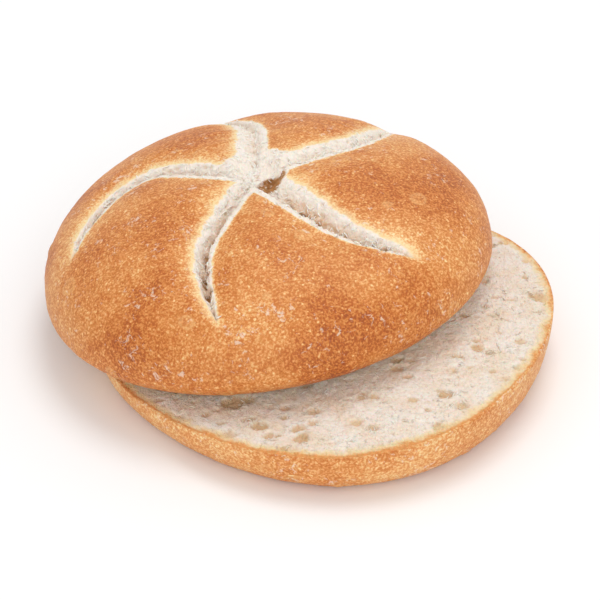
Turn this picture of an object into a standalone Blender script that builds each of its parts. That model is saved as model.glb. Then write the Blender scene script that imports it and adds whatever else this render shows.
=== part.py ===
"""A bread roll cut in two, its crown laid askew on its heel.

The crown is the domed top half. Five curved tears run out from a sunken star and part its crust into five
petals. The heel is the low bottom half, with a flat underside and a cut face of crumb. Both are solid bread.
"""

import math
from typing import NamedTuple

import bmesh
import bpy
from mathutils import Matrix, Vector

MM = 0.001

# The crown, in its own frame: the rim of its cut face lies in z = 0.
CROWN_RIM_RADIUS = 51.3 * MM
CROWN_WIDEST_RADIUS = 55.0 * MM
CROWN_WIDEST_HEIGHT = 5.3 * MM
CROWN_HEIGHT = 29.7 * MM
CROWN_SHOULDER = 0.9  # power of the dome's rise: under 1 makes fuller shoulders
CROWN_CRUMB_BELLY = 0.8 * MM  # how far the cut crumb swells below its rim
CROWN_LOBES = ((3, 0.015, math.radians(-13)),)  # waves round the outline: count, share of radius, azimuth

# The heel, in its own frame: its flat underside lies in z = 0.
HEEL_RIM_RADIUS = 52.6 * MM
HEEL_BASE_RADIUS = 44.0 * MM
HEEL_RIM_HEIGHT = 11.5 * MM  # over its middle
HEEL_CUT_SLOPE = 0.06  # rise of the cut face for each metre towards +X
HEEL_SIDE_SWELL = 0.6  # power of the side's swell: under 1 bulges low down
HEEL_CRUMB_MOUND = 3.0 * MM  # how far the cut crumb swells above its rim
HEEL_LOBES = ((2, 0.05, math.radians(5.4)), (3, 0.046, math.radians(39.7)))

CRUMB_SWELL_SKEW = 0.9  # how much higher both swellings are towards +X, where the halves part

# Where the crown lies on the heel.
CROWN_SLIDE = Vector((-14.8, 18.2, 13.8)) * MM  # from the heel's middle to the middle of the crown's cut
CROWN_TIP_FORWARD = math.radians(-2.0)
CROWN_TIP_LEFT = math.radians(-7.3)

# The star, a bowl with a hole in its floor, seen from above in the crown's frame.
STAR_CENTRE = Vector((1.1, 4.6)) * MM
STAR_RADIUS = 8.8 * MM
STAR_DEPTH = 4.4 * MM
STAR_FLOOR = 0.3  # share of the radius where the floor starts to rise
STAR_RIM_WIDTH = 0.8  # share of the radius that it takes to rise
HOLE_PLACE = Vector((4.4, -0.4)) * MM
HOLE_RADIUS = 3.7 * MM
HOLE_DEPTH = 3.2 * MM

# The tears. Each starts in the star and bends counter-clockwise as it runs outwards.
TEAR_BEND_START = 24.0 * MM  # radius where the tears begin to bend
TEAR_SHOULDER_DEPTH = 1.7 * MM  # how far the petals' edges roll down beside a tear
TEAR_SHOULDER_SPREAD = 2.2  # width of that roll, in half widths of the tear
TEAR_SHOULDER_REACH = 1.0 * MM  # and how much wider than that it is
TEAR_VALLEY_SHIFT = 0.15  # how far the valley lies towards the steep lip, in half widths
LIP_WIDTH = 1.4 * MM  # of the level lip between a tear's steep wall and the crust
TEAR_CLOSING_POWER = 2.5  # how late a tear begins to close on its way out
TEAR_TAPER = 0.9  # power of its narrowing: under 1 keeps it wide for longer
TEAR_SHALLOWING = 1.6  # how late it becomes shallower: over 1 keeps it deep for longer
TEAR_JOINING_POWER = 4  # how sharply neighbouring tears run together: higher leaves a crisper ridge


class Tear(NamedTuple):
    azimuth: float  # of its middle, near the star
    bend: float  # how far it has turned by the widest radius
    half_width: float
    reach: float  # radius where the crust closes
    lip: int  # 1 if the steep wall is on the counter-clockwise side, -1 if on the other
    depth: float


TEARS = (
    Tear(math.radians(33.5), math.radians(15), 4.1 * MM, 60.0 * MM, -1, 2.2 * MM),
    Tear(math.radians(92), math.radians(12), 4.2 * MM, 57.0 * MM, -1, 1.2 * MM),
    Tear(math.radians(153.5), math.radians(52), 3.8 * MM, 49.0 * MM, 1, 2.8 * MM),
    Tear(math.radians(246), math.radians(15.5), 3.2 * MM, 50.0 * MM, 1, 3.2 * MM),
    Tear(math.radians(311), math.radians(12.5), 4.9 * MM, 49.5 * MM, -1, 3.2 * MM),
)

# Rings of the meshes, counted down from the top pole.
CROWN_DOME_RINGS = 26
CROWN_SIDE_RINGS = 3
CROWN_UNDERSIDE_RINGS = 8
CROWN_PETAL_SEGMENTS = 17
PETAL_EDGE_CROWDING = 0.5  # 0 spaces the segments evenly over a petal, 1 crowds them into its edges
HEEL_CUT_RINGS = 10
HEEL_SIDE_RINGS = 7
HEEL_BASE_RINGS = 3
HEEL_SEGMENTS = 72
SHARP_EDGE = math.radians(50)


def eased(share):
    """A smooth rise from 0 to 1."""
    share = min(max(share, 0.0), 1.0)
    return share * share * (3 - 2 * share)


def outline(azimuth, lobes):
    """How much wider or narrower than a circle the bread is at this azimuth."""
    return 1 + sum(size * math.cos(count * (azimuth - place)) for count, size, place in lobes)


def swollen(height, share, x, rim_radius):
    """How far the crumb swells out of its cut at this share of the rim's radius."""
    return height * (1 - share**2) * (1 + CRUMB_SWELL_SKEW * x / rim_radius)


def tear_azimuth(tear, radius):
    bent = eased((radius - TEAR_BEND_START) / (CROWN_WIDEST_RADIUS - TEAR_BEND_START))
    return tear.azimuth + tear.bend * bent


def tear_slant(tear, radius):
    """Cosine of the angle between the tear and a radius: it turns a width along the ring into a true one."""
    step = 0.5 * MM
    turned = tear_azimuth(tear, radius + step) - tear_azimuth(tear, radius - step)
    return math.cos(math.atan(radius * turned / (2 * step)))


def tear_depth(tear, radius, azimuth):
    """How far one tear sinks the surface at this place."""
    if radius >= tear.reach:
        return 0.0
    turned = math.remainder(azimuth - tear_azimuth(tear, radius), math.tau)
    across = radius * turned * tear_slant(tear, radius) * tear.lip
    closing = 1 - (radius / tear.reach) ** TEAR_CLOSING_POWER
    half_width = tear.half_width * closing**TEAR_TAPER
    valley = TEAR_VALLEY_SHIFT * half_width
    wall = half_width - LIP_WIDTH * closing - valley if across > valley else half_width + valley
    sunk = 1 - eased(abs(across - valley) / wall)
    rolled = math.exp(-((across / (TEAR_SHOULDER_SPREAD * half_width + TEAR_SHOULDER_REACH)) ** 2))
    return eased(closing * TEAR_SHALLOWING) * (tear.depth * sunk + TEAR_SHOULDER_DEPTH * rolled)


def sunk_at(x, y):
    """How far the star, its tears and its hole sink the dome at a place seen from above."""
    place = Vector((x, y))
    azimuth = math.atan2(y, x)
    depths = [tear_depth(tear, place.length, azimuth) for tear in TEARS]
    away = (place - STAR_CENTRE).length / STAR_RADIUS
    from_hole = (place - HOLE_PLACE).length / HOLE_RADIUS
    bowl = STAR_DEPTH * (1 - eased((away - STAR_FLOOR) / STAR_RIM_WIDTH))
    depths.append(bowl + HOLE_DEPTH * (1 - eased(from_hole)))
    return sum(depth**TEAR_JOINING_POWER for depth in depths) ** (1 / TEAR_JOINING_POWER)


def petal_azimuth(turn, radius):
    """Turns an even share of the circle into an azimuth whose lines run along the tears."""
    petal, share = divmod(turn * len(TEARS), 1)
    share -= PETAL_EDGE_CROWDING * math.sin(math.tau * share) / math.tau
    start = tear_azimuth(TEARS[int(petal) % len(TEARS)], radius)
    end = tear_azimuth(TEARS[(int(petal) + 1) % len(TEARS)], radius)
    return start + share * ((end - start) % math.tau)


def crown_point(ring, turn):
    """Where a place on a unit sphere lies on the crown."""
    below_dome = ring - CROWN_DOME_RINGS
    below_rim = below_dome - CROWN_SIDE_RINGS
    if below_rim > 0:
        share = 1 - below_rim / CROWN_UNDERSIDE_RINGS
        radius = CROWN_RIM_RADIUS * share
        height = 0.0
    elif below_dome > 0:
        share = below_dome / CROWN_SIDE_RINGS
        radius = CROWN_WIDEST_RADIUS - (CROWN_WIDEST_RADIUS - CROWN_RIM_RADIUS) * share**2
        height = CROWN_WIDEST_HEIGHT * (1 - share)
    else:
        angle = math.pi / 2 * ring / CROWN_DOME_RINGS
        radius = CROWN_WIDEST_RADIUS * math.sin(angle)
        rise = max(math.cos(angle), 0.0) ** CROWN_SHOULDER
        height = CROWN_WIDEST_HEIGHT + (CROWN_HEIGHT - CROWN_WIDEST_HEIGHT) * rise
    azimuth = petal_azimuth(turn, radius)
    radius *= outline(azimuth, CROWN_LOBES)
    x = radius * math.cos(azimuth)
    y = radius * math.sin(azimuth)
    if below_rim > 0:
        height = -swollen(CROWN_CRUMB_BELLY, share, x, CROWN_RIM_RADIUS)
    if below_dome < 0:
        height -= sunk_at(x, y)
    return Vector((x, y, height))


def heel_point(ring, turn):
    """Where a place on a unit sphere lies on the heel."""
    azimuth = turn * math.tau
    below_rim = ring - HEEL_CUT_RINGS
    below_side = below_rim - HEEL_SIDE_RINGS
    if below_side > 0:
        radius = HEEL_BASE_RADIUS * (1 - below_side / HEEL_BASE_RINGS)
        rise = 0.0
    elif below_rim > 0:
        angle = math.pi / 2 * (1 - below_rim / HEEL_SIDE_RINGS)
        swell = max(math.sin(angle), 0.0) ** HEEL_SIDE_SWELL
        radius = HEEL_BASE_RADIUS + (HEEL_RIM_RADIUS - HEEL_BASE_RADIUS) * swell
        rise = 1 - math.cos(angle)
    else:
        radius = HEEL_RIM_RADIUS * ring / HEEL_CUT_RINGS
        rise = 1.0
    radius *= outline(azimuth, HEEL_LOBES)
    x = radius * math.cos(azimuth)
    y = radius * math.sin(azimuth)
    height = rise * (HEEL_RIM_HEIGHT + HEEL_CUT_SLOPE * x)
    if below_rim < 0:
        height += swollen(HEEL_CRUMB_MOUND, ring / HEEL_CUT_RINGS, x, HEEL_RIM_RADIUS)
    return Vector((x, y, height))


def shaped_sphere(name, segments, rings, point, cut_rings):
    """A closed mesh: a sphere whose rings and segments are moved to where `point` says.

    The faces between the rings of the cut take the second material, the crumb.
    """
    shape = bmesh.new()
    bmesh.ops.create_uvsphere(shape, u_segments=segments, v_segments=rings, radius=1.0)
    ring_of = {}
    for vertex in shape.verts:
        polar = math.acos(min(max(vertex.co.z, -1.0), 1.0))
        turn = math.atan2(vertex.co.y, vertex.co.x) / math.tau % 1
        ring_of[vertex] = round(polar / math.pi * rings)
        vertex.co = point(ring_of[vertex], round(turn * segments) % segments / segments)
    for face in shape.faces:
        if all(ring_of[vertex] in cut_rings for vertex in face.verts):
            face.material_index = 1
    mesh = bpy.data.meshes.new(name)
    shape.to_mesh(mesh)
    shape.free()
    mesh.shade_smooth()
    mesh.set_sharp_from_angle(angle=SHARP_EDGE)
    return mesh


def bread(name, colour, roughness):
    material = bpy.data.materials.new(name)
    material.use_nodes = True
    surface = material.node_tree.nodes["Principled BSDF"]
    surface.inputs["Base Color"].default_value = (*colour, 1.0)
    surface.inputs["Roughness"].default_value = roughness
    surface.inputs["Metallic"].default_value = 0.0
    return material


def add_piece(name, mesh, materials, collection, parent):
    piece = bpy.data.objects.new(name, mesh)
    for material in materials:
        mesh.materials.append(material)
    collection.objects.link(piece)
    piece.parent = parent
    return piece


def centre_on_underside(pieces, parent):
    """Moves the parent so that the origin is under the middle of the bounding box of all the pieces."""
    bpy.context.view_layer.update()
    corners = [piece.matrix_world @ vertex.co for piece in pieces for vertex in piece.data.vertices]
    low = Vector(min(corner[axis] for corner in corners) for axis in range(3))
    high = Vector(max(corner[axis] for corner in corners) for axis in range(3))
    parent.location = Vector((-(low.x + high.x) / 2, -(low.y + high.y) / 2, -low.z))


def build():
    for item in list(bpy.data.objects):
        bpy.data.objects.remove(item)
    collection = bpy.data.collections.new("bread_roll")
    bpy.context.scene.collection.children.link(collection)
    middle = bpy.data.objects.new("roll_middle", None)
    collection.objects.link(middle)

    crust = bread("crust", (0.62, 0.30, 0.10), 0.6)
    crumb = bread("crumb", (0.84, 0.74, 0.58), 0.8)

    crown_rings = CROWN_DOME_RINGS + CROWN_SIDE_RINGS + CROWN_UNDERSIDE_RINGS
    crown_segments = CROWN_PETAL_SEGMENTS * len(TEARS)
    crown_cut = range(CROWN_DOME_RINGS + CROWN_SIDE_RINGS, crown_rings + 1)
    crown_mesh = shaped_sphere("crown", crown_segments, crown_rings, crown_point, crown_cut)
    crown = add_piece("crown", crown_mesh, (crust, crumb), collection, middle)
    tip = Matrix.Rotation(CROWN_TIP_FORWARD, 4, "X") @ Matrix.Rotation(CROWN_TIP_LEFT, 4, "Y")
    crown.matrix_local = Matrix.Translation(CROWN_SLIDE) @ tip

    heel_rings = HEEL_CUT_RINGS + HEEL_SIDE_RINGS + HEEL_BASE_RINGS
    heel_cut = range(HEEL_CUT_RINGS + 1)
    heel_mesh = shaped_sphere("heel", HEEL_SEGMENTS, heel_rings, heel_point, heel_cut)
    heel = add_piece("heel", heel_mesh, (crust, crumb), collection, middle)

    centre_on_underside((crown, heel), middle)


build()
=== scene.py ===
"""A crusty bread roll cut in two: the finished look of its crown and its heel.

Five curved tears run out from a sunken star and part the crown's crust into petals. The crown lies askew on the
heel, whose cut face shows the crumb. Fine strands of crumb stand in the tears and on that cut. Lengths are in
metres and angles in radians.
"""

import math
from typing import NamedTuple

import bpy
import numpy as np
from mathutils import Matrix, Vector


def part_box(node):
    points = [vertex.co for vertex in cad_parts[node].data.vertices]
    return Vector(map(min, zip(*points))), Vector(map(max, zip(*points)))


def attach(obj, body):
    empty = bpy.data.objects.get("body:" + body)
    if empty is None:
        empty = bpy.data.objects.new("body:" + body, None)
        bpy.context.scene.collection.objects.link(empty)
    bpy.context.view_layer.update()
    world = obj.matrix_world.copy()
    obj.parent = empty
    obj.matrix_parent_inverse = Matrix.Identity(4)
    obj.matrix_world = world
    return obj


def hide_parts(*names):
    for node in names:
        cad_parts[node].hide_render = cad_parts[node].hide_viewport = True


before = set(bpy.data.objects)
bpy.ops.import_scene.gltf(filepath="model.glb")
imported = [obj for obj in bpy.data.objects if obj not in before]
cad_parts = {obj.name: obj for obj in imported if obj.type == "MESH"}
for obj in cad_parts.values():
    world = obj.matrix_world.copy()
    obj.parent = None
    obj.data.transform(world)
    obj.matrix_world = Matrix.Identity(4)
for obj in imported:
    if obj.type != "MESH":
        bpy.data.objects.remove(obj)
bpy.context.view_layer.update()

MM = 0.001

# The crown, in its own frame: the rim of its cut face lies in z = 0.
CROWN_RIM_RADIUS = 51.3 * MM
CROWN_WIDEST_RADIUS = 55.0 * MM
CROWN_WIDEST_HEIGHT = 5.3 * MM
CROWN_HEIGHT = 29.7 * MM
CROWN_SHOULDER = 0.9
CROWN_CRUMB_BELLY = 0.8 * MM
CROWN_LOBES = ((3, 0.015, math.radians(-13)),)

# The heel, in its own frame: its flat underside lies in z = 0.
HEEL_RIM_RADIUS = 52.6 * MM
HEEL_BASE_RADIUS = 44.0 * MM
HEEL_RIM_HEIGHT = 11.5 * MM
HEEL_CUT_SLOPE = 0.06
HEEL_SIDE_SWELL = 0.6
HEEL_CRUMB_MOUND = 3.0 * MM
HEEL_LOBES = ((2, 0.05, math.radians(5.4)), (3, 0.046, math.radians(39.7)))
CRUMB_SWELL_SKEW = 0.9

# How the crown lies on the heel.
CROWN_SLIDE = Vector((-14.8, 18.2, 13.8)) * MM
CROWN_TIP_FORWARD = math.radians(-2.0)
CROWN_TIP_LEFT = math.radians(-7.3)

# The tears and the star.
TEAR_BEND_START = 24.0 * MM
TEAR_SHOULDER_DEPTH = 1.7 * MM
TEAR_SHOULDER_SPREAD = 2.2
TEAR_SHOULDER_REACH = 1.0 * MM
TEAR_VALLEY_SHIFT = 0.15
LIP_WIDTH = 1.4 * MM  # of the white lip between a tear's steep wall and the crust
TEAR_CLOSING_POWER = 2.5
TEAR_TAPER = 0.9
TEAR_SHALLOWING = 1.6
TEAR_JOINING_POWER = 4
CRACK_DEPTH = 1.3 * MM  # of the broken crack along a tear's valley
CRACK_HALF_WIDTH = 0.7 * MM
TEAR_TAIL = 3.0 * MM  # how far the pale crust runs on past the end of a tear
LIP_PALENESS = 0.6 * MM  # width of the pale crust along the steep side
SLOPE_PALENESS = 2.6 * MM  # and along the other side
STAR_CENTRE = (1.1 * MM, 4.6 * MM)
STAR_RADIUS = 8.8 * MM
STAR_DEPTH = 4.4 * MM
STAR_FLOOR = 0.3  # share of the radius where the floor starts to rise
STAR_RIM_WIDTH = 0.8  # share of the radius that it takes to rise
HOLE_PLACE = (4.4 * MM, -0.4 * MM)
HOLE_RADIUS = 3.7 * MM
HOLE_DEPTH = 3.2 * MM


class Tear(NamedTuple):
    azimuth: float  # of its middle, near the star
    bend: float  # how far it has turned by the widest radius
    half_width: float
    reach: float  # radius where the crust closes
    lip: int  # 1 if the steep wall is on the counter-clockwise side, -1 if on the other
    depth: float
    browned_and_shaded: float  # how beige its floor is (baked tone and painted shade), and how plain its crack


TEARS = (
    Tear(math.radians(33.5), math.radians(15), 4.1 * MM, 60.0 * MM, -1, 2.2 * MM, 0.35),
    Tear(math.radians(92), math.radians(12), 4.2 * MM, 57.0 * MM, -1, 1.2 * MM, 0.25),
    Tear(math.radians(153.5), math.radians(52), 3.8 * MM, 49.0 * MM, 1, 2.8 * MM, 0.6),
    Tear(math.radians(246), math.radians(15.5), 3.2 * MM, 50.0 * MM, 1, 3.2 * MM, 0.7),
    Tear(math.radians(311), math.radians(12.5), 4.9 * MM, 49.5 * MM, -1, 3.2 * MM, 1.0),
)

PETAL_BROWNING = 0.25  # how much darker a petal bakes in its middle than beside the tears

# Rings and segments of the two meshes.
CROWN_CRUST_RINGS = 150
CROWN_CUT_RINGS = 44
CROWN_PETAL_SEGMENTS = 92
PETAL_EDGE_CROWDING = 0.55
HEEL_CUT_RINGS = 116
HEEL_SIDE_RINGS = 30
HEEL_BASE_RINGS = 14
HEEL_SEGMENTS = 580


# --- Shape -----------------------------------------------------------------------------------------------------


def eased(share):
    """A smooth rise from 0 to 1."""
    share = np.clip(share, 0.0, 1.0)
    return share * share * (3 - 2 * share)


def outline(azimuth, lobes):
    """How much wider or narrower than a circle the bread is at this azimuth."""
    return 1 + sum(size * np.cos(count * (azimuth - place)) for count, size, place in lobes)


def waver(along, length, seed):
    """A smooth uneven wave between about -1 and 1, with bumps of about this length."""
    phases = np.random.default_rng(seed).uniform(0, math.tau, 3)
    strides = (1.0, 1.83, 3.1)
    return sum(np.sin(along * math.tau * s / length + p) / s for s, p in zip(strides, phases)) / 1.4


def even_steps(line, count):
    """Walks along a line of (radius, height) points in `count` equal steps."""
    length = np.concatenate(([0.0], np.cumsum(np.linalg.norm(np.diff(line, axis=0), axis=1))))
    wanted = np.linspace(0, length[-1], count + 1)
    return np.column_stack([np.interp(wanted, length, column) for column in line.T])


def tear_azimuth(tear, radius):
    bent = eased((radius - TEAR_BEND_START) / (CROWN_WIDEST_RADIUS - TEAR_BEND_START))
    return tear.azimuth + tear.bend * bent


def tear_slant(tear, radius):
    """Cosine of the angle between the tear and a radius: it turns a width along the ring into a true one."""
    step = 0.5 * MM
    turned = tear_azimuth(tear, radius + step) - tear_azimuth(tear, radius - step)
    return np.cos(np.arctan(radius * turned / (2 * step)))


def tear_field(tear, radius, azimuth):
    """What one tear gives the crown: its depth, and how torn, pale, cracked and beige the surface is."""
    turned = np.remainder(azimuth - tear_azimuth(tear, radius) + math.pi, math.tau) - math.pi
    across = radius * turned * tear_slant(tear, radius) * tear.lip
    seed = int(math.degrees(tear.azimuth))
    lip_side = across > 0
    closing = np.clip(1 - (radius / tear.reach) ** TEAR_CLOSING_POWER, 0, 1)
    ragged = np.where(lip_side, 0.15, 0.4) * MM * waver(radius, 7 * MM, seed)
    ragged += np.where(lip_side, 0.08, 0.22) * MM * waver(radius, 1.9 * MM, seed + 1)
    half_width = np.maximum(tear.half_width * closing**TEAR_TAPER + ragged * np.sqrt(closing), 1e-6)
    valley = TEAR_VALLEY_SHIFT * half_width
    steep_wall = np.maximum(half_width - LIP_WIDTH * closing, 1e-6) - valley
    wall = np.where(across > valley, steep_wall, half_width + valley)
    sunk = 1 - eased(np.abs(across - valley) / wall)
    rolled = np.exp(-((across / (TEAR_SHOULDER_SPREAD * half_width + TEAR_SHOULDER_REACH)) ** 2))
    winding = valley + 0.5 * MM * waver(radius, 4.5 * MM, seed + 2)
    # crack: a broken crevice along the valley, which the crust shader paints brown as painted shade.
    crack = np.exp(-(((across - winding) / CRACK_HALF_WIDTH) ** 2)) * eased(closing * 2)
    crack = crack * eased(0.55 + 0.6 * waver(radius, 5.5 * MM, seed + 3)) * min(1.4 * tear.browned_and_shaded, 1)
    depth = eased(closing * TEAR_SHALLOWING) * (tear.depth * sunk + TEAR_SHOULDER_DEPTH * rolled) + CRACK_DEPTH * crack
    softness = np.where(lip_side, 0.3, 1.7) * MM
    torn = (1 - eased((np.abs(across) - half_width) / softness + 0.5)) * eased(closing * 4)
    on_floor = np.exp(-(((across - 0.1 * half_width) / (0.55 * half_width)) ** 4))
    # Beige on the sunken floor: partly the torn crumb's baked tone, partly painted shade.
    beige = tear.browned_and_shaded * on_floor * eased(radius / STAR_RADIUS - 0.8)
    tail = np.clip(1 - (radius / (tear.reach + TEAR_TAIL)) ** TEAR_CLOSING_POWER, 0, 1)
    paleness = np.where(lip_side, LIP_PALENESS, SLOPE_PALENESS)
    beyond = np.maximum(np.abs(across) - half_width, 0)
    pale = np.exp(-((beyond / paleness) ** 1.3)) * eased(tail * 3)
    return depth, torn, pale, crack, beige


def star_field(x, y):
    """What the star's middle gives the crown, as tear_field says it."""
    azimuth = np.arctan2(y - STAR_CENTRE[1], x - STAR_CENTRE[0])
    reach = STAR_RADIUS * (1 + 0.08 * waver(azimuth, math.tau / 3, 5))
    away = np.hypot(x - STAR_CENTRE[0], y - STAR_CENTRE[1])
    depth = STAR_DEPTH * (1 - eased((away / reach - STAR_FLOOR) / STAR_RIM_WIDTH))
    torn = 1 - eased((away - reach) / (0.8 * MM) + 0.5)
    pale = np.exp(-((np.maximum(away - reach, 0) / LIP_PALENESS) ** 1.3))
    from_hole = np.hypot(x - HOLE_PLACE[0], y - HOLE_PLACE[1]) / HOLE_RADIUS
    hole = 1 - eased((from_hole - 0.3) / 0.7)
    # The hole's painted shade: brown and beige painted in and round the deep hole.
    hole_shade = 1 - eased((from_hole - 0.65) / 0.5)
    return depth + HOLE_DEPTH * hole, torn, pale, 1.2 * hole_shade, hole_shade


def crown_field(x, y):
    """The tears and the star together, at places seen from above in the crown's own frame."""
    radius, azimuth = np.hypot(x, y), np.arctan2(y, x)
    fields = [tear_field(tear, radius, azimuth) for tear in TEARS] + [star_field(x, y)]
    depths, torn, pale, crack, beige = (np.stack(layer) for layer in zip(*fields))
    depth = (depths**TEAR_JOINING_POWER).sum(0) ** (1 / TEAR_JOINING_POWER)
    return depth, torn.max(0), pale.max(0), crack.max(0), beige.max(0)


def petal_azimuth(turn, radius):
    """Turns an even share of the circle into an azimuth whose lines run along the tears."""
    petal = np.floor(turn * len(TEARS)).astype(int) % len(TEARS)
    share = turn * len(TEARS) % 1
    crowding = PETAL_EDGE_CROWDING * (1 - eased(radius / CROWN_WIDEST_RADIUS * 2 - 1))
    share = share - crowding * np.sin(math.tau * share) / math.tau
    starts = np.column_stack([tear_azimuth(tear, radius[:, 0]) for tear in TEARS])
    start, end = starts[:, petal], starts[:, (petal + 1) % len(TEARS)]
    return start + share * ((end - start) % math.tau)


def swollen(height, share, x, rim_radius):
    """How far the crumb swells out of its cut at this share of the rim's radius."""
    return height * (1 - share**2) * (1 + CRUMB_SWELL_SKEW * x / rim_radius)


def crown_shape():
    """Rings of points in the crown's own frame, from the top down, and their named masks."""
    angle = np.linspace(0, math.pi / 2, 240)
    rise = np.maximum(np.cos(angle), 0) ** CROWN_SHOULDER
    dome_height = CROWN_WIDEST_HEIGHT + (CROWN_HEIGHT - CROWN_WIDEST_HEIGHT) * rise
    dome = np.column_stack((CROWN_WIDEST_RADIUS * np.sin(angle), dome_height))
    down = np.linspace(0, 1, 30)[1:]
    side_radius = CROWN_WIDEST_RADIUS - (CROWN_WIDEST_RADIUS - CROWN_RIM_RADIUS) * down**2
    side = np.column_stack((side_radius, CROWN_WIDEST_HEIGHT * (1 - down)))
    crust = even_steps(np.vstack((dome, side)), CROWN_CRUST_RINGS)
    inward = np.linspace(1, 0, CROWN_CUT_RINGS + 1)[1:]
    cut = np.column_stack((CROWN_RIM_RADIUS * inward, np.zeros(CROWN_CUT_RINGS)))
    rings = np.vstack((crust, cut))

    segments = CROWN_PETAL_SEGMENTS * len(TEARS)
    radius = rings[:, :1]
    azimuth = petal_azimuth(np.arange(segments) / segments, radius)
    radius = radius * outline(azimuth, CROWN_LOBES)
    x, y = radius * np.cos(azimuth), radius * np.sin(azimuth)
    z = np.repeat(rings[:, 1:], segments, axis=1)
    on_cut = np.arange(len(rings))[:, None] > CROWN_CRUST_RINGS
    at_rim = np.arange(len(rings))[:, None] >= CROWN_CRUST_RINGS
    depth, torn, pale, crack, beige = crown_field(x, y)
    share = radius / (CROWN_RIM_RADIUS * outline(azimuth, CROWN_LOBES))
    belly = swollen(CROWN_CRUMB_BELLY, share, x, CROWN_RIM_RADIUS)
    z = np.where(at_rim, -belly, z - depth)
    petal_share = np.arange(segments) * len(TEARS) / segments % 1
    scorch = PETAL_BROWNING * np.sin(math.pi * petal_share) ** 2 * eased(radius / CROWN_WIDEST_RADIUS)
    masks = {
        "torn": np.where(at_rim, 0, torn),
        "pale": np.where(at_rim, 0, pale),
        "crack": np.where(at_rim, 0, crack),
        "beige": np.where(at_rim, 0, beige),
        "base": np.zeros_like(x),
        "scorch": np.where(at_rim, 0, scorch),
        "cut": on_cut * np.ones_like(x),
        "rind": np.where(at_rim, CROWN_RIM_RADIUS - share * CROWN_RIM_RADIUS, CROWN_RIM_RADIUS),
        "shred": np.where(at_rim, 0, eased((torn - 0.5) * 2) * (1 - np.clip(crack, 0, 1))),
        # low: how far down the crust lies; the crust shader darkens the crown's lower side with it as painted shade.
        "low": np.where(at_rim, 1, 1 - z / CROWN_HEIGHT),
    }
    return np.stack((x, y, z), axis=-1), masks


def heel_shape():
    """Rings of points in the heel's own frame, from the middle of the cut down, and their named masks."""
    outward = np.linspace(0, 1, HEEL_CUT_RINGS + 1)
    angle = np.linspace(math.pi / 2, 0, 240)
    swell = np.maximum(np.sin(angle), 0) ** HEEL_SIDE_SWELL
    side_radius = HEEL_BASE_RADIUS + (HEEL_RIM_RADIUS - HEEL_BASE_RADIUS) * swell
    side_line = np.column_stack((side_radius, (1 - np.cos(angle)) * HEEL_RIM_HEIGHT))
    side = even_steps(side_line, HEEL_SIDE_RINGS)[1:]
    inward = np.linspace(1, 0, HEEL_BASE_RINGS + 1)[1:]
    ring_radius = np.concatenate((outward * HEEL_RIM_RADIUS, side[:, 0], inward * HEEL_BASE_RADIUS))
    side_rise = side[:, 1] / HEEL_RIM_HEIGHT
    ring_rise = np.concatenate((np.ones(HEEL_CUT_RINGS + 1), side_rise, np.zeros(HEEL_BASE_RINGS)))

    azimuth = np.arange(HEEL_SEGMENTS) / HEEL_SEGMENTS * math.tau + np.zeros((len(ring_radius), 1))
    radius = ring_radius[:, None] * outline(azimuth, HEEL_LOBES)
    x, y = radius * np.cos(azimuth), radius * np.sin(azimuth)
    z = ring_rise[:, None] * (HEEL_RIM_HEIGHT + HEEL_CUT_SLOPE * x)
    ring = np.arange(len(ring_radius))[:, None]
    on_cut = ring <= HEEL_CUT_RINGS
    share = ring / HEEL_CUT_RINGS
    z = z + np.where(on_cut, swollen(HEEL_CRUMB_MOUND, np.minimum(share, 1), x, HEEL_RIM_RADIUS), 0)
    blank = np.zeros_like(x)
    masks = {
        "torn": blank,
        "pale": blank,
        "crack": blank,
        "beige": blank,
        "base": np.clip(1 - z / (1.5 * MM), 0, 1),
        "scorch": blank,
        "cut": np.where(ring < HEEL_CUT_RINGS, 1.0, 0.0) + blank,
        "rind": np.where(on_cut, HEEL_RIM_RADIUS * (1 - share) - 0.8 * MM * np.maximum(-np.sin(azimuth), 0), 0),
        "shred": np.where(on_cut, 0.3 * eased((HEEL_RIM_RADIUS * (1 - share) - 1.2 * MM) / (2 * MM)), 0) + blank,
        "low": np.where(on_cut, 0, 1 - ring_rise[:, None]) + blank,
    }
    return np.stack((x, y, z), axis=-1), masks


def closed_mesh(name, rings, masks):
    """A closed mesh from rings of points whose first and last rings are poles."""
    count, segments = rings.shape[:2]
    inner = rings[1:-1].reshape(-1, 3)
    points = np.vstack((rings[0, :1], inner, rings[-1, :1]))
    step = np.arange(segments)
    following = (step + 1) % segments
    bottom = len(points) - 1
    last = 1 + (count - 3) * segments
    faces = np.column_stack((np.zeros(segments, int), 1 + step, 1 + following)).tolist()
    for start in range(1, last, segments):
        lower = start + segments
        faces += np.column_stack((start + step, lower + step, lower + following, start + following)).tolist()
    faces += np.column_stack((last + step, np.full(segments, bottom), last + following)).tolist()
    mesh = bpy.data.meshes.new(name)
    mesh.from_pydata(points.tolist(), [], faces)
    for mask, values in masks.items():
        column = np.concatenate((values[0, :1], values[1:-1].reshape(-1), values[-1, :1]))
        mesh.attributes.new(mask, "FLOAT", "POINT").data.foreach_set("value", column.astype(np.float32))
    mesh.shade_smooth()
    return mesh


def heel_middle():
    """Where the middle of the heel lies, from the box of its CAD node."""
    azimuth = np.linspace(0, math.tau, 720, endpoint=False)
    radius = HEEL_RIM_RADIUS * outline(azimuth, HEEL_LOBES)
    x, y = radius * np.cos(azimuth), radius * np.sin(azimuth)
    low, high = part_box("heel")
    return Vector(((low[0] + high[0] - x.min() - x.max()) / 2, (low[1] + high[1] - y.min() - y.max()) / 2, low[2]))


# --- Node trees ------------------------------------------------------------------------------------------------


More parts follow.
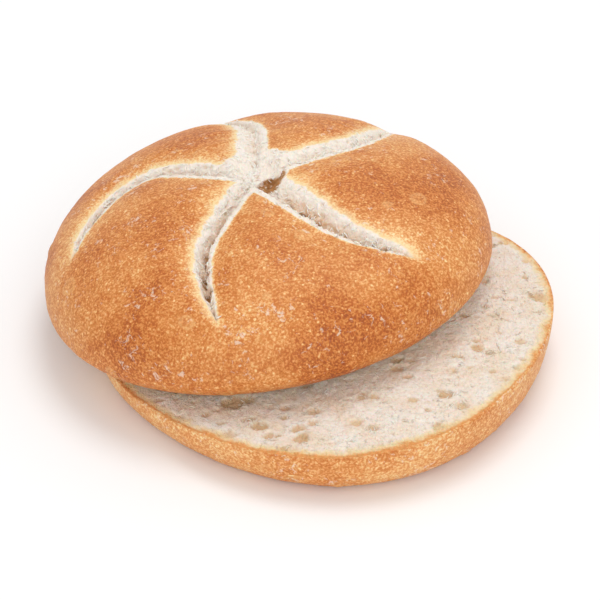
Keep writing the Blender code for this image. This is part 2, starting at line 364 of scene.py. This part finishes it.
class Nodes:
    """A node tree, with short ways to add nodes and join them."""

    def __init__(self, tree):
        self.tree = tree

    def add(self, kind, inputs=None, **settings):
        node = self.tree.nodes.new(kind)
        for name, value in settings.items():
            setattr(node, name, value)
        for key, value in (inputs or {}).items():
            self.feed(node.inputs[key], value)
        return node

    def feed(self, socket, value):
        if isinstance(value, bpy.types.NodeSocket):
            self.tree.links.new(value, socket)
        else:
            socket.default_value = value

    def math(self, operation, *values, clamp=False):
        node = self.add("ShaderNodeMath", operation=operation, use_clamp=clamp)
        for socket, value in zip(node.inputs, values):
            self.feed(socket, value)
        return node.outputs[0]

    def total(self, *values):
        result = values[0]
        for value in values[1:]:
            result = self.math("ADD", result, value)
        return result

    def product(self, *values):
        result = values[0]
        for value in values[1:]:
            result = self.math("MULTIPLY", result, value)
        return result

    def stretch(self, vector, factors):
        """The vector with each of its parts multiplied."""
        node = self.add("ShaderNodeVectorMath", {0: vector, 1: factors}, operation="MULTIPLY")
        return node.outputs[0]

    def between(self, value, low, high, start=0.0, end=1.0):
        """A smooth change from start to end while the value goes from low to high."""
        node = self.add("ShaderNodeMapRange", interpolation_type="SMOOTHSTEP")
        for socket, number in zip(node.inputs[:5], (value, low, high, start, end)):
            self.feed(socket, number)
        return node.outputs[0]

    def noise(self, place, size, detail=2.0, roughness=0.5, warp=0.0):
        """Noise from 0 to 1 with lumps of about this size."""
        scale = self.math("DIVIDE", 1.0, size) if isinstance(size, bpy.types.NodeSocket) else 1.0 / size
        inputs = {"Vector": place, "Scale": scale, "Detail": detail, "Roughness": roughness, "Distortion": warp}
        return self.add("ShaderNodeTexNoise", inputs).outputs[0]

    def cells(self, place, size, feature="F1"):
        """(distance to the nearest cell's middle in cell widths, a random colour for each cell)."""
        scale = self.math("DIVIDE", 1.0, size) if isinstance(size, bpy.types.NodeSocket) else 1.0 / size
        node = self.add("ShaderNodeTexVoronoi", {"Vector": place, "Scale": scale}, feature=feature)
        return node.outputs["Distance"], node.outputs["Color"]

    def mix(self, factor, first, second, blend="MIX"):
        node = self.add("ShaderNodeMix", data_type="RGBA", blend_type=blend)
        for place, value in ((0, factor), (6, first), (7, second)):
            self.feed(node.inputs[place], value)
        return node.outputs[2]


def new_group(kind, name, inputs, outputs):
    """An empty node group with these sockets, given as (name, socket type, default)."""
    tree = bpy.data.node_groups.new(name, kind)
    for label, socket_type, default in inputs:
        socket = tree.interface.new_socket(label, in_out="INPUT", socket_type=socket_type)
        if default is not None:
            socket.default_value = default
    for label, socket_type in outputs:
        tree.interface.new_socket(label, in_out="OUTPUT", socket_type=socket_type)
    nodes = Nodes(tree)
    return nodes, nodes.add("NodeGroupInput").outputs, nodes.add("NodeGroupOutput")


FLOAT, GEOMETRY, MATERIAL = "NodeSocketFloat", "NodeSocketGeometry", "NodeSocketMaterial"


def pores(nodes, place, size, share, seed_shift, ragged):
    """Dents with ragged edges, 0 outside and 1 in the middle, in this share of the cells."""
    moved = nodes.add("ShaderNodeVectorMath", {0: place, 1: (seed_shift, seed_shift, 0.0)}, operation="ADD")
    distance, colour = nodes.cells(moved.outputs[0], size)
    distance = nodes.math("MULTIPLY_ADD", ragged, 0.3, distance)
    parts = nodes.add("ShaderNodeSeparateXYZ", {0: colour}).outputs
    reach = nodes.math("MULTIPLY_ADD", parts[0], 0.28, 0.2)
    dent = nodes.between(nodes.math("DIVIDE", distance, reach), 1.0, 0.45)
    there = nodes.math("LESS_THAN", parts[1], share)
    return nodes.product(dent, there)


def relief_tree():
    """Geometry Nodes: the crust's lumps and blisters, the torn crumb's crags and the cut crumb's pores."""
    inputs = [
        ("Geometry", GEOMETRY, None),
        ("Lump Height", FLOAT, 0.5 * MM),
        ("Lump Size", FLOAT, 8 * MM),
        ("Ripple Height", FLOAT, 0.16 * MM),
        ("Ripple Size", FLOAT, 1.8 * MM),
        ("Blister Height", FLOAT, 0.22 * MM),
        ("Blister Size", FLOAT, 9 * MM),
        ("Crag Height", FLOAT, 1.8 * MM),
        ("Crag Size", FLOAT, 1.7 * MM),
        ("Pore Depth", FLOAT, 0.9 * MM),
        ("Pore Size", FLOAT, 7.5 * MM),
        ("Crust", MATERIAL, None),
        ("Crumb", MATERIAL, None),
    ]
    nodes, given, result = new_group("GeometryNodeTree", "bread_relief", inputs, [("Geometry", GEOMETRY)])
    place = nodes.add("GeometryNodeInputPosition").outputs[0]
    normal = nodes.add("GeometryNodeInputNormal").outputs[0]

    def mask(name):
        return nodes.add("GeometryNodeInputNamedAttribute", {"Name": name}, data_type="FLOAT").outputs[0]

    torn, cut = mask("torn"), mask("cut")
    crust = nodes.math("SUBTRACT", 1.0, nodes.math("MAXIMUM", torn, cut), clamp=True)

    lumps = nodes.math("SUBTRACT", nodes.noise(place, given["Lump Size"], 2.0), 0.5)
    ripples = nodes.math("SUBTRACT", nodes.noise(place, given["Ripple Size"], 3.0), 0.5)
    warped = nodes.noise(place, 3 * MM, 1.0)
    distance, colour = nodes.cells(place, given["Blister Size"])
    chance = nodes.add("ShaderNodeSeparateXYZ", {0: colour}).outputs
    edge = nodes.math("MULTIPLY_ADD", warped, 0.16, nodes.math("MULTIPLY_ADD", chance[2], 0.12, 0.08))
    blister = nodes.between(nodes.math("DIVIDE", distance, edge), 1.0, 0.7)
    blister = nodes.product(blister, nodes.math("LESS_THAN", chance[0], 0.35))
    crust_relief = nodes.total(
        nodes.product(lumps, given["Lump Height"]),
        nodes.product(ripples, given["Ripple Height"]),
        nodes.product(blister, given["Blister Height"]),
    )

    crags = nodes.math("SUBTRACT", nodes.noise(place, given["Crag Size"], 4.0, 0.7, 0.5), 0.55)
    crag_relief = nodes.product(crags, given["Crag Height"])
    ragged = nodes.math("SUBTRACT", nodes.noise(place, 1.6 * MM, 3.0, 0.6), 0.5)
    pits = pores(nodes, place, 1.7 * MM, 0.5, 0.31, ragged)
    crag_relief = nodes.math("SUBTRACT", crag_relief, nodes.product(pits, 0.5 * MM))

    bent = nodes.add("ShaderNodeVectorMath", operation="MULTIPLY_ADD")
    wander = nodes.add("ShaderNodeTexNoise", {"Vector": place, "Scale": 1 / (3 * MM), "Detail": 2.0}).outputs[1]
    for socket, value in zip(bent.inputs, (wander, (1.6 * MM,) * 3, place)):
        nodes.feed(socket, value)
    long_way = nodes.stretch(bent.outputs[0], (0.7, 1.0, 0.3))
    big = pores(nodes, long_way, given["Pore Size"], 0.75, 0.0, ragged)
    middling = pores(nodes, long_way, 3.4 * MM, 0.6, 0.17, ragged)
    small = pores(nodes, nodes.stretch(bent.outputs[0], (0.8, 1.0, 0.3)), 1.5 * MM, 0.6, 0.43, ragged)
    inside = nodes.between(mask("rind"), 0.8 * MM, 2.2 * MM)
    hollow = nodes.total(big, nodes.product(middling, 0.7), nodes.product(small, 0.3))
    hollow = nodes.product(hollow, nodes.math("MULTIPLY_ADD", inside, 0.75, 0.25))
    fibres = nodes.math("SUBTRACT", nodes.noise(place, 1.7 * MM, 4.0, 0.7, 0.8), 0.5)
    waves = nodes.math("SUBTRACT", nodes.noise(place, 9 * MM, 1.0), 0.5)
    cut_relief = nodes.total(
        nodes.product(fibres, 1.5 * MM),
        nodes.product(waves, 0.8 * MM),
        nodes.product(hollow, given["Pore Depth"], -1.0),
    )

    relief = nodes.total(
        nodes.product(crust, crust_relief), nodes.product(torn, crag_relief), nodes.product(cut, cut_relief)
    )
    relief = nodes.product(relief, nodes.math("SUBTRACT", 1.0, mask("base")))
    offset = nodes.add("ShaderNodeVectorMath", {0: normal, "Scale": relief}, operation="SCALE").outputs[0]
    # hollow: how deep the pores and pits are; the crumb shaders tint it tan as painted shade.
    hollows = nodes.total(nodes.product(cut, hollow), nodes.product(torn, pits))
    shape = given["Geometry"]
    for name, value in (("hollow", hollows), ("blister", nodes.product(blister, crust)), ("relief", relief)):
        store = nodes.add("GeometryNodeStoreNamedAttribute", {"Geometry": shape, "Name": name, "Value": value})
        store.domain = "POINT"
        shape = store.outputs[0]
    moved = nodes.add("GeometryNodeSetPosition", {"Geometry": shape, "Offset": offset})
    realized = nodes.add("GeometryNodeRealizeInstances", {0: moved.outputs[0]})
    crusted = nodes.add("GeometryNodeSetMaterial", {0: realized.outputs[0], "Material": given["Crust"]})
    on_cut = nodes.math("GREATER_THAN", cut, 0.5)
    inputs = {0: crusted.outputs[0], "Selection": on_cut, "Material": given["Crumb"]}
    nodes.feed(result.inputs[0], nodes.add("GeometryNodeSetMaterial", inputs).outputs[0])
    return nodes.tree


def shred_tree():
    """Geometry Nodes: short thin strands of crumb that arch out of a torn or cut face."""
    inputs = [
        ("Geometry", GEOMETRY, None),
        ("Density", FLOAT, 1.5e6),
        ("Length", FLOAT, 1.3 * MM),
        ("Thickness", FLOAT, 0.14 * MM),
        ("Arch", FLOAT, 0.3),
        ("Seed", "NodeSocketInt", 4),
        ("Crumb", MATERIAL, None),
    ]
    nodes, given, result = new_group("GeometryNodeTree", "crumb_shreds", inputs, [("Geometry", GEOMETRY)])
    place = nodes.add("GeometryNodeInputPosition").outputs[0]
    allowed = nodes.add("GeometryNodeInputNamedAttribute", {"Name": "shred"}, data_type="FLOAT").outputs[0]
    clumps = nodes.between(nodes.noise(place, 4 * MM, 2.0), 0.42, 0.58, 0.25, 1.0)
    spread = nodes.add("GeometryNodeDistributePointsOnFaces", {"Mesh": given["Geometry"], "Seed": given["Seed"]})
    nodes.feed(spread.inputs["Density"], nodes.product(allowed, clumps, given["Density"]))

    half = nodes.product(given["Length"], 0.5)
    ends = []
    for side in (-1, 1):
        foot = {0: nodes.product(half, side), 2: -0.12 * MM}
        ends.append(nodes.add("ShaderNodeCombineXYZ", foot).outputs[0])
    crest = {1: nodes.product(half, 0.5), 2: nodes.product(half, given["Arch"])}
    middle = nodes.add("ShaderNodeCombineXYZ", crest).outputs[0]
    arch = nodes.add("GeometryNodeCurveQuadraticBezier", {"Start": ends[0], "Middle": middle, "End": ends[1]})
    arch.inputs["Resolution"].default_value = 4
    along = nodes.add("GeometryNodeSplineParameter").outputs["Factor"]
    swell = nodes.product(along, nodes.math("SUBTRACT", 1.0, along), 3.0)
    thickness = nodes.product(given["Thickness"], nodes.total(swell, 0.3))
    sized = nodes.add("GeometryNodeSetCurveRadius", {"Curve": arch.outputs[0], "Radius": thickness})
    profile = nodes.add("GeometryNodeCurvePrimitiveCircle", {"Resolution": 4, "Radius": 1.0})
    tube = nodes.add("GeometryNodeCurveToMesh", {"Curve": sized.outputs[0], "Profile Curve": profile.outputs[0]})
    tube.inputs["Fill Caps"].default_value = True
    nodes.feed(tube.inputs["Scale"], thickness)

    size = nodes.add("FunctionNodeRandomValue", {2: 0.5, 3: 1.4, "Seed": given["Seed"]}, data_type="FLOAT").outputs[1]
    put = {"Points": spread.outputs["Points"], "Instance": tube.outputs[0], "Rotation": spread.outputs["Rotation"]}
    strands = nodes.add("GeometryNodeInstanceOnPoints", {**put, "Scale": size})
    lowest, highest = (-0.3, -0.3, 0.0), (0.3, 0.3, math.tau)
    turn = nodes.add("FunctionNodeRandomValue", {0: lowest, 1: highest}, data_type="FLOAT_VECTOR").outputs[0]
    turned = nodes.add("GeometryNodeRotateInstances", {"Instances": strands.outputs[0], "Rotation": turn})
    realized = nodes.add("GeometryNodeRealizeInstances", {0: turned.outputs[0]})
    finished = nodes.add("GeometryNodeSetMaterial", {0: realized.outputs[0], "Material": given["Crumb"]})
    nodes.feed(result.inputs[0], finished.outputs[0])
    return nodes.tree


def grown(name, mesh, tree, values):
    """The plain mesh object that a Geometry Nodes tree makes from a mesh."""
    source = bpy.data.objects.new(name + "_source", mesh)
    bpy.context.scene.collection.objects.link(source)
    modifier = source.modifiers.new(tree.name, "NODES")
    modifier.node_group = tree
    sockets = {item.name: item.identifier for item in tree.interface.items_tree if item.in_out == "INPUT"}
    for label, value in values.items():
        modifier[sockets[label]] = value
    bpy.context.view_layer.update()
    graph = bpy.context.evaluated_depsgraph_get()
    evaluated = source.evaluated_get(graph)
    finished = bpy.data.meshes.new_from_object(evaluated, preserve_all_data_layers=True, depsgraph=graph)
    finished.name = name
    source.modifiers.remove(modifier)
    bpy.data.objects.remove(source)
    piece = bpy.data.objects.new(name, finished)
    bpy.context.scene.collection.objects.link(piece)
    return piece


# --- Materials -------------------------------------------------------------------------------------------------


def tone(red, green, blue):
    """A linear colour from the everyday 0 to 255 scale."""
    shares = (channel / 255 for channel in (red, green, blue))
    return (*(s / 12.92 if s <= 0.04045 else ((s + 0.055) / 1.055) ** 2.4 for s in shares), 1.0)


CRUST_SCORCHED = tone(158, 78, 34)
CRUST_DARK = tone(188, 102, 42)
CRUST_BROWN = tone(208, 128, 60)
CRUST_GOLD = tone(226, 156, 92)
CRUST_LIGHT = tone(240, 192, 130)
CRUST_PALE = tone(244, 218, 166)
TORN_WHITE = tone(252, 243, 233)
CRUMB_WHITE = tone(245, 234, 222)
CRUMB_CREAM = tone(241, 223, 202)
CRUMB_TAN = tone(222, 184, 138)
# The tears' floors: baked tone and painted shade.
CRUMB_BEIGE = tone(222, 180, 138)
# Painted shade in the cracks and the star's hole.
PAINTED_SHADE_BROWN = tone(176, 124, 74)
FLOUR_WHITE = tone(246, 226, 206)


def grain_group():
    """Shader group: the crust's fine sandy grain, from -1 dark to 1 pale, and its height."""
    inputs = [("Place", "NodeSocketVector", None), ("Grain Size", FLOAT, 0.4 * MM)]
    nodes, given, result = new_group("ShaderNodeTree", "sandy_grain", inputs, [("Grain", FLOAT), ("Height", FLOAT)])
    fine = nodes.noise(given["Place"], given["Grain Size"], 2.0, 0.6)
    coarse = nodes.noise(given["Place"], nodes.math("MULTIPLY", given["Grain Size"], 2.6), 2.0, 0.5)
    both = nodes.total(nodes.product(fine, 0.8), nodes.product(coarse, 0.2))
    nodes.feed(result.inputs["Grain"], nodes.between(both, 0.38, 0.68, -0.55, 1.2))
    nodes.feed(result.inputs["Height"], both)
    return nodes.tree


def flour_group():
    """Shader group: small pale specks, and thin irregular flecks of baked-on flour."""
    inputs = [("Place", "NodeSocketVector", None), ("Fleck Size", FLOAT, 1.7 * MM)]
    nodes, given, result = new_group("ShaderNodeTree", "flour_specks", inputs, [("Flour", FLOAT), ("Speck", FLOAT)])
    ragged = nodes.noise(given["Place"], given["Fleck Size"], 3.0, 0.75, 0.6)
    region = nodes.noise(given["Place"], 9 * MM, 1.0)
    fleck = nodes.between(nodes.math("MULTIPLY_ADD", region, 0.35, ragged), 0.79, 0.87)
    distance, colour = nodes.cells(given["Place"], 1.1 * MM)
    chance = nodes.add("ShaderNodeSeparateXYZ", {0: colour}).outputs
    size = nodes.math("MULTIPLY_ADD", chance[1], 0.3, 0.12)
    rough = nodes.math("MULTIPLY_ADD", nodes.math("SUBTRACT", ragged, 0.5), 0.5, distance)
    speck = nodes.between(nodes.math("DIVIDE", rough, size), 1.0, 0.5)
    rare = nodes.math("LESS_THAN", chance[0], 0.6)
    nodes.feed(result.inputs["Flour"], fleck)
    nodes.feed(result.inputs["Speck"], nodes.product(speck, rare))
    return nodes.tree


def crumb_group():
    """Shader group: the crumb's fine cells and threads, as pits from 0 to 1 and a height."""
    inputs = [("Place", "NodeSocketVector", None), ("Cell Size", FLOAT, 0.7 * MM)]
    nodes, given, result = new_group("ShaderNodeTree", "fine_crumb", inputs, [("Pit", FLOAT), ("Height", FLOAT)])
    threads = nodes.noise(given["Place"], given["Cell Size"], 3.0, 0.6, 1.0)
    distance, _ = nodes.cells(given["Place"], given["Cell Size"])
    pit = nodes.product(nodes.between(distance, 0.45, 0.15), nodes.between(threads, 0.6, 0.4))
    nodes.feed(result.inputs["Pit"], pit)
    nodes.feed(result.inputs["Height"], nodes.math("SUBTRACT", threads, nodes.product(pit, 0.15)))
    return nodes.tree


def new_material(name):
    material = bpy.data.materials.new(name)
    material.use_nodes = True
    nodes = Nodes(material.node_tree)
    surface = material.node_tree.nodes["Principled BSDF"]
    place = nodes.add("ShaderNodeTexCoord").outputs["Object"]

    def mask(label):
        return nodes.add("ShaderNodeAttribute", attribute_name=label).outputs["Fac"]

    return material, nodes, surface, place, mask


def put_group(nodes, group, **inputs):
    """Places a node group and feeds its inputs, whose names are given with _ for a space."""
    node = nodes.add("ShaderNodeGroup", node_tree=group)
    for label, value in inputs.items():
        nodes.feed(node.inputs[label.replace("_", " ")], value)
    return node.outputs


def crumb_colour(nodes, place, groups, hollow):
    """(colour, height) of torn or cut crumb, with painted shade in its fine cells, pits and pores."""
    fine = put_group(nodes, groups["crumb"], Place=place, Cell_Size=0.8 * MM)
    broad = nodes.noise(place, 6 * MM, 2.0)
    mottle = nodes.noise(place, 1.1 * MM, 3.0, 0.7, 0.4)
    colour = nodes.mix(nodes.between(broad, 0.35, 0.7), CRUMB_WHITE, CRUMB_CREAM)
    colour = nodes.mix(nodes.between(mottle, 0.52, 0.72, 0.0, 0.3), colour, CRUMB_TAN)
    # Painted shade: the fine cells, and the pits and pores by their depth, are tinted tan.
    colour = nodes.mix(nodes.product(fine["Pit"], 0.25), colour, CRUMB_TAN)
    colour = nodes.mix(nodes.between(hollow, 0.05, 0.9, 0.0, 0.8), colour, CRUMB_TAN)
    return colour, fine["Height"]


def crust_material(name, groups, bake):
    """Baked crust that turns pale along the tears and into crumb inside them."""
    material, nodes, surface, place, mask = new_material(name)
    grain = put_group(nodes, groups["grain"], Place=place, Grain_Size=0.55 * MM)
    floured = put_group(nodes, groups["flour"], Place=place, Fleck_Size=1.7 * MM)
    flour = floured["Flour"]
    broad = nodes.noise(place, 17 * MM, 2.0, 0.5)
    mottle = nodes.noise(place, 2.6 * MM, 3.0, 0.6)
    baked = nodes.total(
        nodes.between(broad, 0.3, 0.7, -0.1, 0.12),
        nodes.between(mottle, 0.3, 0.7, -0.06, 0.06),
        nodes.product(mask("scorch"), 0.55),
        # Darker towards the bottom: painted shade on the crown's lower side, browner baking on the heel's side and
        # base.
        nodes.between(mask("low"), 0.35, 1.0, 0.0, 0.06),
        nodes.product(grain["Grain"], -0.24),
        nodes.product(floured["Speck"], -0.3),
        nodes.product(mask("pale"), -0.3),
        bake,
    )
    ramp = nodes.add("ShaderNodeValToRGB", {0: baked})
    stops = (
        (0.0, CRUST_PALE),
        (0.25, CRUST_LIGHT),
        (0.45, CRUST_GOLD),
        (0.66, CRUST_BROWN),
        (0.84, CRUST_DARK),
        (1.0, CRUST_SCORCHED),
    )
    elements = ramp.color_ramp.elements
    while len(elements) < len(stops):
        elements.new(0.5)
    for element, (position, colour) in zip(elements, stops):
        element.position = position
        element.color = colour
    colour = ramp.outputs[0]
    margin = nodes.between(nodes.total(mask("pale"), nodes.product(grain["Grain"], 0.15)), 0.35, 1.2)
    colour = nodes.mix(margin, colour, CRUST_PALE)
    ring = nodes.product(mask("blister"), nodes.math("SUBTRACT", 1.0, mask("blister")), 4.0)
    blistered = nodes.total(nodes.product(ring, 0.3), nodes.product(mask("blister"), 0.12))
    colour = nodes.mix(blistered, colour, CRUST_LIGHT)
    colour = nodes.mix(nodes.product(flour, 0.55), colour, FLOUR_WHITE)
    crumb, crumb_height = crumb_colour(nodes, place, groups, mask("hollow"))
    rough = nodes.noise(place, 1.3 * MM, 3.0, 0.7)
    crumb = nodes.mix(0.6, crumb, TORN_WHITE)
    # Beige on the sunken floors of the tears: partly the torn crumb's baked tone, partly painted shade.
    beige = nodes.product(mask("beige"), nodes.between(rough, 0.36, 0.6, 1.0, 0.35))
    crumb = nodes.mix(beige, crumb, CRUMB_BEIGE)
    # Painted shade: the crack along each tear's valley and the star's hole are painted brown.
    cracked = nodes.product(nodes.between(mask("crack"), 0.05, 0.7), nodes.between(rough, 0.7, 0.54))
    crumb = nodes.mix(cracked, crumb, PAINTED_SHADE_BROWN)
    ragged = nodes.total(mask("torn"), nodes.product(nodes.noise(place, 0.8 * MM, 2.0), 0.3))
    torn = nodes.between(ragged, 0.35, 1.0)
    nodes.feed(surface.inputs["Base Color"], nodes.mix(torn, colour, crumb))
    roughness = nodes.total(0.52, nodes.product(torn, 0.35), nodes.product(flour, 0.25))
    nodes.feed(surface.inputs["Roughness"], roughness)
    height = nodes.total(
        nodes.product(grain["Height"], nodes.math("SUBTRACT", 1.0, torn), 0.16 * MM),
        nodes.product(crumb_height, torn, 0.35 * MM),
        nodes.product(flour, 0.05 * MM),
    )
    bump = nodes.add("ShaderNodeBump", {"Height": height, "Strength": 1.0, "Distance": 1.0})
    nodes.feed(surface.inputs["Normal"], bump.outputs[0])
    surface.inputs["Subsurface Weight"].default_value = 0.15
    surface.inputs["Subsurface Scale"].default_value = 1.5 * MM
    surface.inputs["Specular IOR Level"].default_value = 0.3
    return material


def crumb_material(name, groups):
    """The cut face: open crumb inside a thin golden rind."""
    material, nodes, surface, place, mask = new_material(name)
    colour, height = crumb_colour(nodes, place, groups, mask("hollow"))
    wander = nodes.noise(place, 5 * MM, 3.0, 0.6)
    from_rim = nodes.math("MULTIPLY_ADD", wander, 5.0 * MM, nodes.math("SUBTRACT", mask("rind"), 2.5 * MM))
    colour = nodes.mix(nodes.between(from_rim, 3.0 * MM, 1.0 * MM, 0.0, 0.85), colour, CRUST_PALE)
    grain = put_group(nodes, groups["grain"], Place=place, Grain_Size=0.7 * MM)["Grain"]
    baked = nodes.mix(nodes.between(grain, -0.6, 0.8), CRUST_GOLD, CRUST_LIGHT)
    colour = nodes.mix(nodes.between(from_rim, 1.5 * MM, 0.0), colour, baked)
    at_edge = nodes.between(mask("rind"), 0.6 * MM, 0.1 * MM)
    colour = nodes.mix(nodes.product(at_edge, 0.8), colour, CRUST_GOLD)
    nodes.feed(surface.inputs["Base Color"], colour)
    surface.inputs["Roughness"].default_value = 0.9
    bump = nodes.add("ShaderNodeBump", {"Height": nodes.product(height, 0.5 * MM), "Distance": 1.0})
    nodes.feed(surface.inputs["Normal"], bump.outputs[0])
    surface.inputs["Subsurface Weight"].default_value = 0.2
    surface.inputs["Subsurface Scale"].default_value = 2.0 * MM
    surface.inputs["Specular IOR Level"].default_value = 0.2
    return material


def plain_crumb(name):
    """The strands in the tears: crumb of one colour."""
    material = bpy.data.materials.new(name)
    material.use_nodes = True
    surface = material.node_tree.nodes["Principled BSDF"]
    surface.inputs["Base Color"].default_value = TORN_WHITE
    surface.inputs["Roughness"].default_value = 0.9
    surface.inputs["Subsurface Weight"].default_value = 0.2
    surface.inputs["Subsurface Scale"].default_value = 1.0 * MM
    surface.inputs["Specular IOR Level"].default_value = 0.2
    return material


CROWN_BAKE, HEEL_BAKE = 0.58, 0.46  # how dark each crust is baked, from 0 to 1
CROWN_SHREDS, HEEL_SHREDS = 1.2e6, 0.9e6  # strands for each square metre where they stand closest


# --- The roll --------------------------------------------------------------------------------------------------


def add_shreds(name, mesh, tree, material, density):
    piece = grown(name, mesh, tree, {"Crumb": material, "Density": density})
    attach(piece, "root")


def add_bread():
    groups = {"grain": grain_group(), "flour": flour_group(), "crumb": crumb_group()}
    crumb = crumb_material("cut_crumb", groups)
    torn = plain_crumb("torn_strands")
    relief, shreds = relief_tree(), shred_tree()
    middle = heel_middle()

    rings, masks = crown_shape()
    mesh = closed_mesh("crown", rings, masks)
    tip = Matrix.Rotation(CROWN_TIP_FORWARD, 4, "X") @ Matrix.Rotation(CROWN_TIP_LEFT, 4, "Y")
    mesh.transform(Matrix.Translation(middle + CROWN_SLIDE) @ tip)
    crust = crust_material("crown_crust", groups, CROWN_BAKE)
    crown = grown("bread_crown", mesh, relief, {"Crust": crust, "Crumb": crumb})
    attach(crown, "root")
    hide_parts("crown")
    add_shreds("crown_shreds", mesh, shreds, torn, CROWN_SHREDS)

    rings, masks = heel_shape()
    mesh = closed_mesh("heel", rings, masks)
    mesh.transform(Matrix.Translation(middle))
    crust = crust_material("heel_crust", groups, HEEL_BAKE)
    heel = grown("bread_heel", mesh, relief, {"Crust": crust, "Crumb": crumb})
    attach(heel, "root")
    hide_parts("heel")
    add_shreds("heel_shreds", mesh, shreds, crumb, HEEL_SHREDS)


# --- Studio ----------------------------------------------------------------------------------------------------

CAMERA_HEIGHT_ANGLE = math.radians(35)
CAMERA_DISTANCE = 0.574
CAMERA_LENS = 144.06
CAMERA_AIM = Vector((-6.95, -0.85, 19.1)) * MM  # from the middle of the heel

FLOOR_HALF_SIDE = 3.0
ROOM_LIGHT = 0.74
LAMP_AIM = Vector((0, 0, 0.02))
LAMPS = (  # name, place, width, watts
    ("overhead", Vector((0.12, 0.2, 0.9)), 0.5, 2.6),
    ("front", Vector((0.05, -0.9, 0.45)), 0.7, 2.2),
)


def add_camera():
    data = bpy.data.cameras.new("camera")
    data.lens = CAMERA_LENS
    data.sensor_width = 36.0
    camera = bpy.data.objects.new("camera", data)
    bpy.context.scene.collection.objects.link(camera)
    away = Vector((0, -math.cos(CAMERA_HEIGHT_ANGLE), math.sin(CAMERA_HEIGHT_ANGLE)))
    camera.location = heel_middle() + CAMERA_AIM + away * CAMERA_DISTANCE
    camera.rotation_euler = (math.pi / 2 - CAMERA_HEIGHT_ANGLE, 0, 0)
    bpy.context.scene.camera = camera


def add_lamp(name, location, size, power):
    data = bpy.data.lights.new(name, "AREA")
    data.shape = "DISK"
    data.size = size
    data.energy = power
    lamp = bpy.data.objects.new(name, data)
    lamp.location = location
    lamp.rotation_euler = (LAMP_AIM - lamp.location).to_track_quat("-Z", "Y").to_euler()
    bpy.context.scene.collection.objects.link(lamp)


def add_studio():
    mesh = bpy.data.meshes.new("floor")
    side = FLOOR_HALF_SIDE
    corners = [(-side, -side, 0), (side, -side, 0), (side, side, 0), (-side, side, 0)]
    mesh.from_pydata(corners, [], [(0, 1, 2, 3)])
    floor = bpy.data.objects.new("floor", mesh)
    bpy.context.scene.collection.objects.link(floor)
    material = bpy.data.materials.new("floor_paper")
    material.use_nodes = True
    surface = material.node_tree.nodes["Principled BSDF"]
    surface.inputs["Base Color"].default_value = tone(250, 250, 250)
    surface.inputs["Roughness"].default_value = 0.9
    mesh.materials.append(material)

    world = bpy.data.worlds.new("studio")
    bpy.context.scene.world = world
    world.use_nodes = True
    world.node_tree.nodes["Background"].inputs["Color"].default_value = (1, 1, 1, 1)
    world.node_tree.nodes["Background"].inputs["Strength"].default_value = ROOM_LIGHT
    for lamp in LAMPS:
        add_lamp(*lamp)
    bpy.context.scene.view_settings.view_transform = "Standard"


add_camera()
add_studio()
add_bread()
